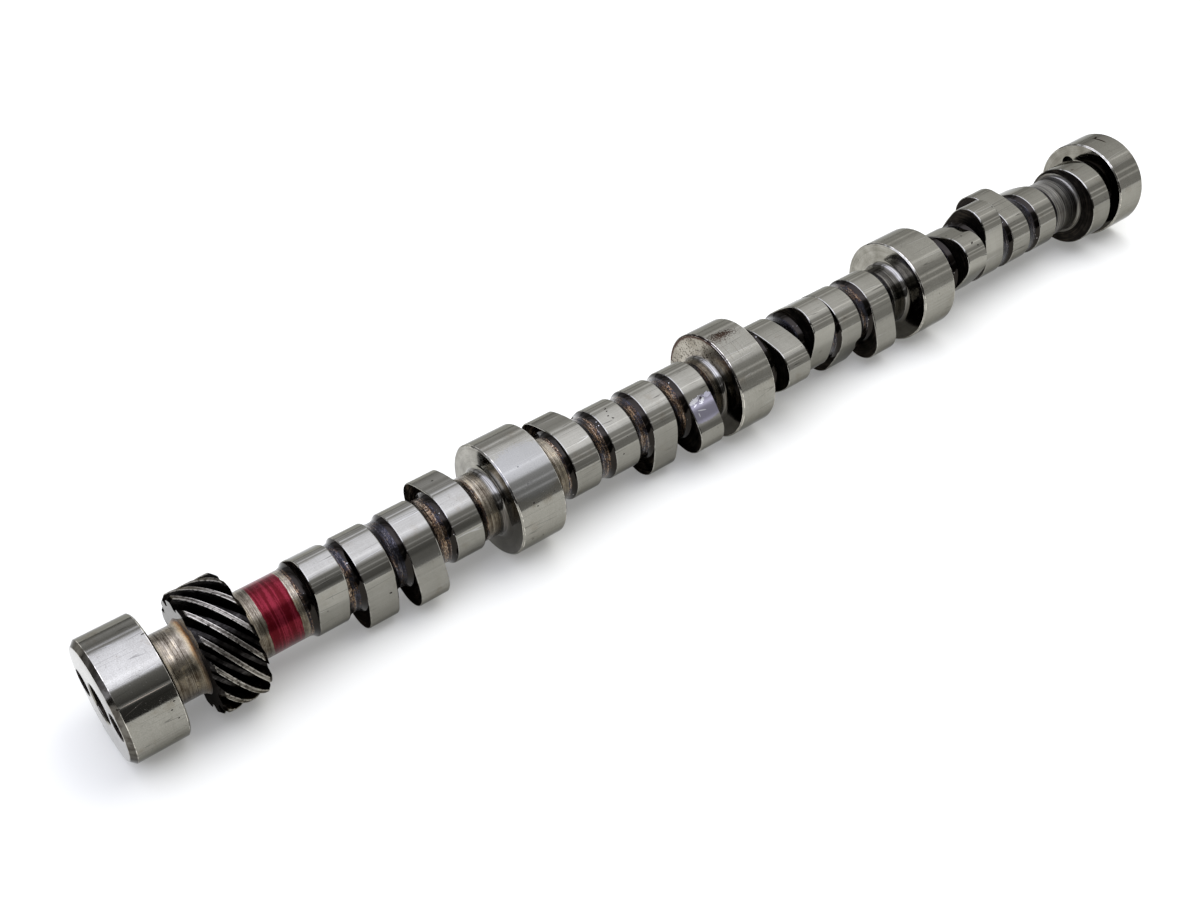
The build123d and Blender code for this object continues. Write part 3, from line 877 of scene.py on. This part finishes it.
def divided(path):
    # neck and journal runs get more rings, for their heat colours, their turned unevenness and their worn edges
    chance = random.Random(turning["seed"])
    made = []
    for (x, r, finish), (nextX, nextR, _) in zip(path, path[1:]):
        made.append((x, r, finish))
        length = math.hypot(nextX - x, nextR - r)
        hidden = min(r, nextR) > shaft["hubRadius"] - 0.01  # inside a lobe, the gear or the eccentric
        shares = []
        if finish in ("edge", "journal") and length > turning["leastWorn"]:
            shares = [turning["worn"] / length, 1 - turning["worn"] / length]
        elif finish in ("neck", "oxide") and abs(nextR - r) < 1.0 and not hidden:
            count = int(length / turning["longest"])
            shares = [step / (count + 1) for step in range(1, count + 1)]
        for share in shares:
            off = chance.uniform(-1, 1) * turning["uneven"].get(finish, 0.0)
            made.append((x + (nextX - x) * share, r + (nextR - r) * share + off, finish))
    return made + [path[-1]]


def barLengths(path):
    # the bar comes in three lengths, capped where they meet inside a lobe, so that no mesh grows too heavy
    cuts = [lobeShape["centres"][index] for index in turning["insideLobes"]]
    lengths, made = [], []
    for (x, r, finish), (nextX, _, _) in zip(path, path[1:]):
        made.append((x, r, finish))
        if cuts and x < cuts[0] < nextX:
            cut = cuts.pop(0)
            lengths.append(made + [(cut, r, finish), (cut, 0.0, finish)])
            made = [(cut, 0.0, finish), (cut, r, finish)]
    return lengths + [made + [path[-1]]]


def drillPath(face, inward, radius, depth):
    # from the tip of the drill to the mouth of the hole; inward is 1 in the rear face and -1 in the front one
    return [(face + inward * (depth + drillTip(radius)), 0.0, "bore"), (face + inward * depth, radius, "bore"),
            (face + inward * endHoles["mouth"], radius, "bore")]


def drillRear(bm, path, rings):
    # the rear end face is taken out again and filled round its two drive holes
    wide = [abs(nextR - r) > endHoles["driveRadius"] for (_, r, _), (_, nextR, _) in zip(path, path[1:])]
    flatAt = next(i for i, (_, _, finish) in enumerate(path) if finish == "holes" and wide[i])
    loops = [rings[flatAt], rings[flatAt + 1]]
    both = set(loops[0] + loops[1])
    flat = {face for vert in loops[0] for face in vert.link_faces if both.issuperset(face.verts)}
    bmesh.ops.delete(bm, geom=list(flat), context="FACES_ONLY")
    rear, radius = shaft["rearFace"], endHoles["driveRadius"]
    holePath = drillPath(rear, 1, radius, endHoles["driveDepth"]) + [(rear, radius + endHoles["mouth"], "bore")]
    for angle in (endHoles["driveAngle"], endHoles["driveAngle"] + full / 2):
        centre = around(endHoles["driveCircle"], angle)
        loops.append(spin(bm, holePath, finishIndex, centre, endHoles["turns"])[-1])
    edges = []
    for loop in loops:
        for vert, other in zip(loop, loop[1:] + loop[:1]):
            edges.append(bm.edges.get((vert, other)) or bm.edges.new((vert, other)))
    filled = bmesh.ops.triangle_fill(bm, use_beauty=True, use_dissolve=False, edges=edges)
    for item in filled["geom"]:
        if isinstance(item, bmesh.types.BMFace):
            item.normal_update()
            if item.normal.x > 0:
                item.normal_flip()
            item.material_index = finishIndex["holes"]


def drillFront(body):
    # the front bolt holes come through behind their journal, so they are cut out of the closed bar
    drill = bmesh.new()
    radius, clear = endHoles["boltRadius"], endHoles["clear"]
    holePath = drillPath(0.0, -1, radius, endHoles["boltDepth"])
    holePath += [(clear, radius + endHoles["mouth"] + clear, "bore"), (clear, 0.0, "bore")]
    for bolt in range(endHoles["bolts"]):
        centre = around(endHoles["boltCircle"], endHoles["boltAngle"] + full / endHoles["bolts"] * bolt)
        spin(drill, holePath, finishIndex, centre, endHoles["turns"])
    made = []
    for name, source in (("undrilledBar", body), ("drill", drill)):
        mesh = bpy.data.meshes.new(name)
        source.to_mesh(mesh)
        source.free()
        for material in barFinishes.values():
            mesh.materials.append(material)
        made.append(bpy.data.objects.new(name, mesh))
        bpy.context.scene.collection.objects.link(made[-1])
    cutting = made[0].modifiers.new("drilling", "BOOLEAN")
    cutting.object = made[1]
    cutting.operation = "DIFFERENCE"
    cutting.solver = "EXACT"
    result = bpy.data.meshes.new_from_object(made[0].evaluated_get(bpy.context.evaluated_depsgraph_get()))
    drilled = bmesh.new()
    drilled.from_mesh(result)
    for mesh in [piece.data for piece in made] + [result]:
        bpy.data.meshes.remove(mesh)
    return drilled


# how the bar is marked for its materials, in millimetres: how far each mark reaches and over what it fades
wear = {
    "collarRear": (1.1, 1.3), "collarFront": (0.8, 1.4), "touching": -0.5, "far": 99.0,
    "heatReach": 9.0, "gearHeat": {"reach": 14.0, "most": 0.62, "fall": 0.13},
    "polish": (3.4, 0.6), "polishRadius": 16.5,
    "cornerWidth": 0.11, "paintedChamferShadeMargin": 0.05, "paintedChamferShadeRadius": 20.0, "rimWidth": 0.3, "pumpRimWidth": 0.2,
}
hotFaces = [side for pair in lobeSides for side in pair] + list(shaft["gear"])
journalSides = [side for pair in shaft["journals"][1:] for side in pair]

# how strongly each neck and cove was heated, from clean (0) to straw and brown (1), as (x, temper)
tempers = [(-517, 0.85), (-478, 0.6), (-455, 0.85), (-450, 0.42), (-432, 0.34), (-415, 0.82), (-409, 0.4),
           (-391, 0.8), (-358, 0.75), (-336, 0.6), (-316, 0.62), (-296, 0.62), (-276, 0.5), (-249, 0.3),
           (-228, 0.15), (-209, 0.25), (-189, 0.5), (-167, 0.12), (-134, 0.3), (-112, 0.12), (-93, 0.15),
           (-73, 0.15), (-48, 0.1), (-22, 0.0)]


def radiusOf(point):
    return math.hypot(point.y, point.z)


def collarAt(point):
    # a black collar stands on the rear side of each lobe and a thin one on its front side
    aheads = [start - point.x for start, _ in lobeSides if start - point.x > wear["touching"]]
    behinds = [point.x - end for _, end in lobeSides if point.x - end > wear["touching"]]
    rear, front = (min(ways, default=wear["far"]) for ways in (aheads, behinds))
    beforeFront = 1.0 if point.x > shaft["pumpHub"][1] - 1 else 0.0
    (reach, fade), (strength, frontFade) = wear["collarRear"], wear["collarFront"]
    return max(beforeFront, 1 - max(0.0, rear - reach) / fade, strength - max(0.0, front) / frontFade)


def temperAt(point):
    return min(tempers, key=lambda pair: abs(pair[0] - point.x))[1]


def heatAt(point):
    # behind the gear the neck is straw and orange, and it darkens nowhere
    gearHeat, behindGear = wear["gearHeat"], shaft["gear"][0] - point.x
    if 0 < behindGear < gearHeat["reach"]:
        return max(0.0, min(gearHeat["most"], 1.0 - behindGear * gearHeat["fall"]))
    return max(0.0, 1 - min(abs(point.x - side) for side in hotFaces) / wear["heatReach"])


def polishAt(point):
    reach, fade = wear["polish"]
    away = min(abs(point.x - side) for side in journalSides)
    return max(0.0, min(1.0, (reach - away) / fade)) if radiusOf(point) < wear["polishRadius"] else 0.0


# the worn corners of the journals, painted pale as wear and as highlight lines, as (x, radius)
wornCorners = []
for start, end in shaft["journals"]:
    for side, sign in ((start, 1), (end, -1)):
        wornCorners += [(side, shaft["journalRadius"] - chamferAt(side)),
                        (side + sign * chamferAt(side), shaft["journalRadius"])]


def edgeAt(point):
    away = min(math.hypot(point.x - x, radiusOf(point) - r) for x, r in wornCorners)
    return 1.0 if away < wear["cornerWidth"] else 0.0


def paintedChamferShadeAt(point):
    # painted shade on the rear journal's chamfer, between its two worn corners
    into = point.x - shaft["rearFace"]
    inside = wear["paintedChamferShadeMargin"] < into < shaft["rearEdgeChamfer"] - wear["paintedChamferShadeMargin"]
    return 1.0 if inside and radiusOf(point) > wear["paintedChamferShadeRadius"] else 0.0


barMarks = {"paintedChamferShade": paintedChamferShadeAt, "collar": collarAt, "temper": temperAt, "heat": heatAt, "polish": polishAt,
            "edgeShine": edgeAt}
for name, path in zip(turning["names"], barLengths(barPath())):
    bm = bmesh.new()
    rings = spin(bm, path, finishIndex)
    if name == "rearBar":
        drillRear(bm, path, rings)
    elif name == "frontBar":
        bm = drillFront(bm)
    bar = finishPiece(name, bm, barFinishes.values(), marks=barMarks)
    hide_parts("camshaft")
    print(name, "turned", len(bar.data.polygons))


def groundRim(bm, outline, start, end, corner, inner):
    # a rim between two dark sides that run in to the inner radius; corner is (way in from the side, inset)
    stations = [(start + x, inset, False) for x, inset in corner]
    stations += [(end - x, inset, False) for x, inset in reversed(corner)]
    rings = []
    for x, inset, inside in [(start, 0.0, True), *stations, (end, 0.0, True)]:
        flats = [point - normal * inset for point, normal in outline]
        if inside:
            flats = [flat.normalized() * inner for flat in flats]
        rings.append([(x * mm, flat.x * mm, flat.y * mm) for flat in flats])
    edges = ["edge"] * (len(corner) - 1)
    loft(bm, rings, ["side", *edges, "rim", *edges, "side"], {"side": 1, "edge": 0, "rim": 0})


# the rims' corners on the lobes and the eccentric, painted pale as highlight lines
def rimEdgeAt(point):
    away = min(abs(point.x - side) for pair in lobeSides for side in pair)
    return 1.0 if away < wear["rimWidth"] else 0.0


def pumpEdgeAt(point):
    return 1.0 if min(abs(point.x - side) for side in shaft["pumpHub"]) < wear["pumpRimWidth"] else 0.0


# sixteen roller lobes in four bays, each a ground rim between two dark sides
outline = lobeOutline()
edge, soft = lobeShape["edge"], lobeShape["edge"] * lobeShape["softness"]
for bay in range(lobeShape["bays"]):
    bm = bmesh.new()
    perBay = len(lobeSides) // lobeShape["bays"]
    for index in range(perBay * bay, perBay * (bay + 1)):
        turned = Matrix.Rotation(math.radians(noseAngle(lobeShape["names"][index])), 2)
        turnedOutline = [(turned @ Vector(point), turned @ Vector(normal)) for point, normal in outline]
        corner = [(0.0, edge), (soft, soft), (edge, 0.0)]
        groundRim(bm, turnedOutline, *lobeSides[index], corner, lobeShape["inner"])
    lobeBay = finishPiece(f"lobeBay{bay + 1}", bm, [lobeSteel, sideBlack], marks={"edgeShine": rimEdgeAt})
    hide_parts("camshaft")
print("lobes ground")


# the helical drive gear
driveGear = {
    "teeth": 13, "module": 1.814, "pressure": 20.0, "helix": 57.4, "clearance": 0.25, "angleAtRear": 62.0,
    "bevel": 1.6, "inner": 14.6, "slices": 44, "bevelSteps": 5, "flankSteps": 9, "tipSteps": 5, "rootSteps": 5,
    "cornerDepth": 0.05, "cornerAngle": 0.1,  # how far in and round the bright corners of the crests reach
}


def gearSection():
    g = driveGear
    helix = math.radians(g["helix"])
    pitchRadius = g["teeth"] * g["module"] / (2 * math.cos(helix))
    outer = pitchRadius + g["module"]
    root = pitchRadius - (1 + g["clearance"]) * g["module"]
    pressure = math.atan2(math.tan(math.radians(g["pressure"])), math.cos(helix))
    baseRadius = pitchRadius * math.cos(pressure)
    step = full / g["teeth"]

    def involute(angle):
        return math.tan(angle) - angle

    def halfTooth(radius):
        return step / 4 + math.degrees(involute(pressure) - involute(math.acos(min(1.0, baseRadius / radius))))

    points = []
    halfTip, halfRoot = halfTooth(outer), halfTooth(root)
    rise = (outer - root) / g["flankSteps"]
    for tooth in range(g["teeth"]):
        middle = g["angleAtRear"] + tooth * step
        up = [root + rise * k for k in range(g["flankSteps"])]
        down = [outer - rise * k for k in range(g["flankSteps"])]
        points += [(radius, middle - halfTooth(radius)) for radius in up]
        points += [(outer, middle - halfTip + 2 * halfTip * k / g["tipSteps"]) for k in range(g["tipSteps"])]
        points += [(radius, middle + halfTooth(radius)) for radius in down]
        gap = (step - 2 * halfRoot) / g["rootSteps"]
        points += [(root, middle + halfRoot + gap * k) for k in range(g["rootSteps"])]
    return points, outer, 2 * math.pi * pitchRadius / math.tan(helix), halfTip


gearPoints, gearOuter, gearLead, gearHalfTip = gearSection()
gearStart, gearEnd = shaft["gear"]


def gearRing(place, blank):
    # the section at a place along the gear, cut back to the blank's radius
    spots = (around(min(radius, blank), angle + full * place / gearLead) for radius, angle in gearPoints)
    return [((gearStart + place) * mm, y * mm, z * mm) for y, z in spots]


def cutGear(bm):
    bevel, width, slices = driveGear["bevel"], gearEnd - gearStart, driveGear["slices"]
    ends = [bevel * k / driveGear["bevelSteps"] for k in range(driveGear["bevelSteps"])]
    places = ends + [bevel + (width - 2 * bevel) * k / slices for k in range(slices + 1)]
    places += [width - place for place in reversed(ends)]
    rings = [gearRing(place, gearOuter - max(0.0, bevel - place, bevel - (width - place))) for place in places]
    rings = [gearRing(0.0, driveGear["inner"]), *rings, gearRing(width, driveGear["inner"])]
    loft(bm, rings, ["face"] + ["teeth"] * (len(places) - 1) + ["face"], {"teeth": 0, "face": 1})


def crestEdgeAt(point):
    # 1 on the two corners of each tooth's crest, where the painted highlight lines go
    angle = math.degrees(math.atan2(point.z, point.y)) - full * (point.x - gearStart) / gearLead
    step = full / driveGear["teeth"]
    off = abs((angle - driveGear["angleAtRear"] + step / 2) % step - step / 2)
    onCrest = radiusOf(point) > gearOuter - driveGear["cornerDepth"]
    return 1.0 if onCrest and abs(off - gearHalfTip) < driveGear["cornerAngle"] else 0.0


bm = bmesh.new()
cutGear(bm)
gearPiece = finishPiece("driveGear", bm, [gearSteel, gearFaceSteel], sharp=32.0, marks={"crestEdge": crestEdgeAt})
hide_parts("camshaft")
print("gear cut")


# the round offset eccentric of the fuel pump
pumpLobe = {"radius": 19.2, "throw": 3.7, "angle": 180.0, "edge": 0.35, "inner": 15.0, "turns": 200}
offset = Vector(around(pumpLobe["throw"], pumpLobe["angle"]))
normals = [Vector(around(1.0, full * turn / pumpLobe["turns"])) for turn in range(pumpLobe["turns"])]
outline = [(offset + normal * pumpLobe["radius"], normal) for normal in normals]
bm = bmesh.new()
groundRim(bm, outline, *shaft["pumpHub"], [(0.0, pumpLobe["edge"]), (pumpLobe["edge"], 0.0)], pumpLobe["inner"])
pumpPiece = finishPiece("pumpEccentric", bm, [lobeSteel, sideBlack], marks={"edgeShine": pumpEdgeAt})
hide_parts("camshaft")

# the timing gear's dowel pin, standing out of the front face
dowelPin = {
    "radius": 3.97, "out": 11.0, "seat": 11.0, "chamfer": 0.7, "seatRound": 0.1, "outRound": 0.25,
    "circle": 15.1, "angle": -14.0, "turns": 64,
}
radius, inner = dowelPin["radius"], dowelPin["radius"] - dowelPin["chamfer"]
seat, out, chamfer = -dowelPin["seat"], dowelPin["out"], dowelPin["chamfer"]
corners = [(seat, 0.0, 0, "pin"), (seat, inner, dowelPin["seatRound"], "pin"),
           (seat + chamfer, radius, dowelPin["seatRound"], "pin"),
           (out - chamfer, radius, dowelPin["outRound"], "pin"),
           (out, inner, dowelPin["outRound"], "pin"), (out, 0.0, 0, "pin")]
bm = bmesh.new()
spin(bm, roundedPath(corners), {"pin": 0}, around(dowelPin["circle"], dowelPin["angle"]), dowelPin["turns"])
pinPiece = finishPiece("dowelPinDressed", bm, [journalSteel])
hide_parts("dowel_pin")
print("eccentric and pin made")


# studio: a pale floor, one soft lamp and a soft sky of light and dark cards
studio = {
    "floorHalf": 30.0, "floorColour": (0.54, 0.535, 0.484, 1.0), "floorGlow": 0.2, "middle": -0.27,
    "lampSize": (1.2, 0.7), "lampEnergy": 9.0, "lampPlace": (0.2, -0.05, 1.2),
}


def addToScene(thing):
    bpy.context.scene.collection.objects.link(thing)


def makeFloor():
    bm = bmesh.new()
    bmesh.ops.create_grid(bm, x_segments=1, y_segments=1, size=studio["floorHalf"])
    mesh = bpy.data.meshes.new("studioFloor")
    bm.to_mesh(mesh)
    bm.free()
    floor = bpy.data.objects.new("studioFloor", mesh)
    floor.location = (studio["middle"], 0.0, floorLevel)
    addToScene(floor)
    material, tree, shader = newMaterial("floorPaper", metallic=0.0)
    rays = tree.nodes.new("ShaderNodeLightPath").outputs
    seen = larger(tree, rays["Is Camera Ray"], rays["Is Glossy Ray"])
    seen = larger(tree, seen, rays["Is Transmission Ray"])
    tree.links.new(times(tree, seen, studio["floorGlow"]), shader.inputs["Emission Strength"])
    plain = {"Base Color": studio["floorColour"], "Roughness": 0.9, "Specular IOR Level": 0.0,
             "Emission Color": (1.0, 1.0, 1.0, 1.0)}
    for label, value in plain.items():
        shader.inputs[label].default_value = value
    mesh.materials.append(material)


# the sky, from level on the far side (0) over the top (90) to level on the near side (180), as (degrees, strength):
# bright and dark cards, seen in the rear journal, the rear lobes, the fourth journal, the second and the front one
sky = {
    "limit": 3.4, "behind": 0.4, "behindReach": (-0.95, -0.72),
    "cool": {"rear": 0.2, "lobes": 0.17, "fourth": 0.1, "second": 0.04, "front": 0.04},
    "coolFull": 1.8, "coolRed": 0.15,
    "reach": [(0.16, 0.25), (0.37, 0.408), (0.409, 0.668), (0.668, 0.764)],
    "rear": [(0, 0.2), (5, 0.4), (12, 0.72), (28, 0.36), (33, 0.5), (36, 1.7), (39, 0.5), (42, 0.6), (48, 1.95),
             (56, 2.4), (76, 2.75), (100, 2.85), (107, 3.4), (113, 2.9), (119, 2.3), (123, 0.42), (130, 0.27),
             (141, 0.17), (149, 0.1), (151, 0.6), (153, 0.6), (155, 0.07), (177, 0.05), (180, 0.05)],
    "lobes": [(0, 0.53), (7, 0.8), (12, 0.9), (17, 0.55), (21, 1.0), (24, 0.6), (29, 1.9), (33, 1.0), (35, 0.6),
              (42, 1.4), (48, 1.85), (54, 2.0), (66, 2.15), (90, 2.25), (99, 2.4), (102, 2.75), (106, 2.3),
              (112, 1.85), (118, 1.3), (123, 0.6), (126, 0.46), (134, 0.42), (137, 0.75), (140, 0.36),
              (148, 0.26), (150, 0.6), (152, 0.25), (156, 0.19), (168, 0.17), (174, 0.3), (180, 0.5)],
    "fourth": [(0, 0.4), (8, 0.95), (17, 0.68), (23, 0.8), (28, 1.6), (33, 1.05), (37, 0.8), (44, 1.4), (52, 1.7),
               (68, 1.92), (98, 2.08), (101, 2.7), (105, 2.2), (114, 2.05), (119, 1.8), (124, 0.72), (136, 0.56),
               (139, 1.1), (142, 0.5), (150, 0.46), (153, 0.95), (156, 0.4), (166, 0.3), (180, 0.32)],
    "second": [(0, 0.85), (14, 0.92), (19, 0.7), (23, 0.84), (26, 1.3), (30, 0.8), (37, 0.72), (44, 0.96),
               (66, 1.08), (98, 1.12), (101, 1.8), (104, 1.2), (116, 0.92), (122, 0.6), (135, 0.52), (139, 1.25),
               (142, 0.56), (150, 0.56), (153, 1.15), (156, 0.6), (166, 0.55), (180, 0.7)],
    "front": [(0, 0.75), (16, 0.54), (28, 0.76), (60, 0.84), (94, 0.92), (99, 0.98), (101, 1.7), (104, 1.0),
              (116, 0.82), (123, 0.46), (135, 0.46), (139, 1.1), (142, 0.5), (151, 0.52), (154, 1.1), (157, 0.52),
              (180, 0.54)],
}


def skyStops(name):
    stops = []
    for angle, strength in sky[name]:
        cool = sky["cool"][name] * min(1.0, strength / sky["coolFull"])
        level = strength / sky["limit"]
        stops.append((angle / 180, (level * (1 - sky["coolRed"] * cool), level, level * (1 + cool))))
    return stops


def makeWorld():
    world = bpy.data.worlds.new("studioSky")
    bpy.context.scene.world = world
    world.use_nodes = True
    tree = world.node_tree
    background = tree.nodes["Background"]
    way = parts(tree, tree.nodes.new("ShaderNodeTexCoord").outputs["Generated"])
    turn = arithmetic(tree, "ARCTAN2", way["Z"], way["Y"])
    share = arithmetic(tree, "DIVIDE", turn, math.pi, clamp=True)
    light, *others = [ramp(tree, share, skyStops(name)) for name in sky["cool"]]
    for (start, end), card in zip(sky["reach"], others):
        step = put(tree, "ShaderNodeMapRange", links={0: way["X"], 1: start, 2: end}).outputs[0]
        light = blend(tree, step, light, card)
    behind = spread(tree, way["X"], *sky["behindReach"], sky["behind"], 1.0)
    tree.links.new(light, background.inputs["Color"])
    tree.links.new(times(tree, behind, sky["limit"]), background.inputs["Strength"])


def makeLamp():
    lamp = bpy.data.lights.new("softBox", "AREA")
    lamp.shape = "RECTANGLE"
    lamp.size, lamp.size_y = studio["lampSize"]
    lamp.energy = studio["lampEnergy"]
    lampObject = bpy.data.objects.new("softBox", lamp)
    lampObject.location = studio["lampPlace"]
    aim = Vector((studio["middle"], 0.0, 0.0)) - lampObject.location
    lampObject.rotation_euler = aim.to_track_quat("-Z", "Y").to_euler()
    lampObject.visible_glossy = False
    addToScene(lampObject)


cameraSet = {
    "place": (-0.5970, -0.3394, 0.3850), "right": (0.7849, -0.6196, 0.0), "up": (0.4147, 0.5253, 0.743),
    "lens": 42.63, "sensor": 36.0,
}


def makeCamera():
    cameraData = bpy.data.cameras.new("camera")
    cameraData.lens = cameraSet["lens"]
    cameraData.sensor_width = cameraSet["sensor"]
    camera = bpy.data.objects.new("camera", cameraData)
    right = Vector(cameraSet["right"]).normalized()
    up = Vector(cameraSet["up"])
    up = (up - right * up.dot(right)).normalized()
    turnMatrix = Matrix((right, up, right.cross(up))).transposed().to_4x4()
    turnMatrix.translation = Vector(cameraSet["place"])
    camera.matrix_world = turnMatrix
    addToScene(camera)
    bpy.context.scene.camera = camera


makeFloor()
makeWorld()
makeLamp()
makeCamera()
bpy.context.scene.view_settings.view_transform = "Standard"
print("studio ready")
